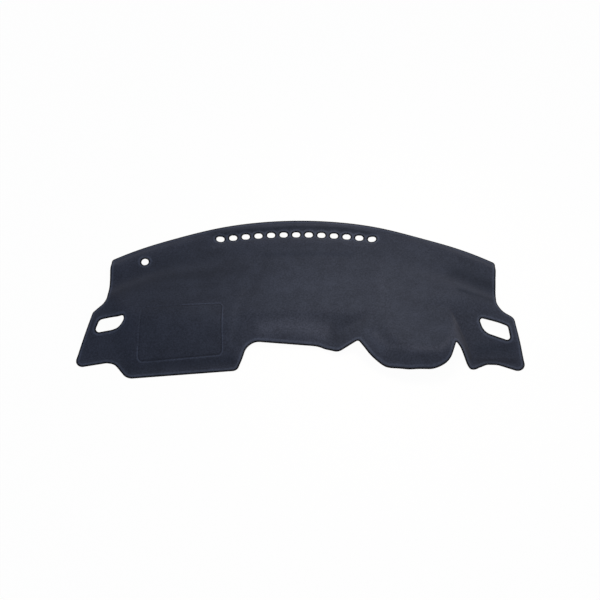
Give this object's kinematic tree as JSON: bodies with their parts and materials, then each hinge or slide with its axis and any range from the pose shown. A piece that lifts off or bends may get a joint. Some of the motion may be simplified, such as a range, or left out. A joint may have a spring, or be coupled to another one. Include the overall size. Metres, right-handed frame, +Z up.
{
  "type": "dashboard cover mat",
  "caption": "Moulded velour felt mat that covers a car dashboard, with an instrument hood lobe, defroster slots, side vent holes, a sensor hole and overlocked edges.",
  "frame": {"origin": "middle of the mat's plan, on the ground plane that its edges rest on", "axes": "+X to the car's right side, +Y to the windscreen, +Z up"},
  "size_m": [1.3614, 0.5814, 0.1001],
  "materials": {
    "velour": "short velour pile, dark blue grey, matt with a soft sheen",
    "overlock_thread": "textured polyester overlock thread, near black"
  },
  "bodies": {
    "root": {"mat_sheet": "velour", "outer_edge_overlock": "overlock_thread", "left_vent_overlock": "overlock_thread", "right_vent_overlock": "overlock_thread", "sensor_hole_overlock": "overlock_thread", "defrost_slot_overlock_01": "overlock_thread", "defrost_slot_overlock_02": "overlock_thread", "defrost_slot_overlock_03": "overlock_thread", "defrost_slot_overlock_04": "overlock_thread", "defrost_slot_overlock_05": "overlock_thread", "defrost_slot_overlock_06": "overlock_thread", "defrost_slot_overlock_07": "overlock_thread", "defrost_slot_overlock_08": "overlock_thread", "defrost_slot_overlock_09": "overlock_thread", "defrost_slot_overlock_10": "overlock_thread", "defrost_slot_overlock_11": "overlock_thread", "defrost_slot_overlock_12": "overlock_thread", "defrost_slot_overlock_13": "overlock_thread"}
  },
  "joints": []
}
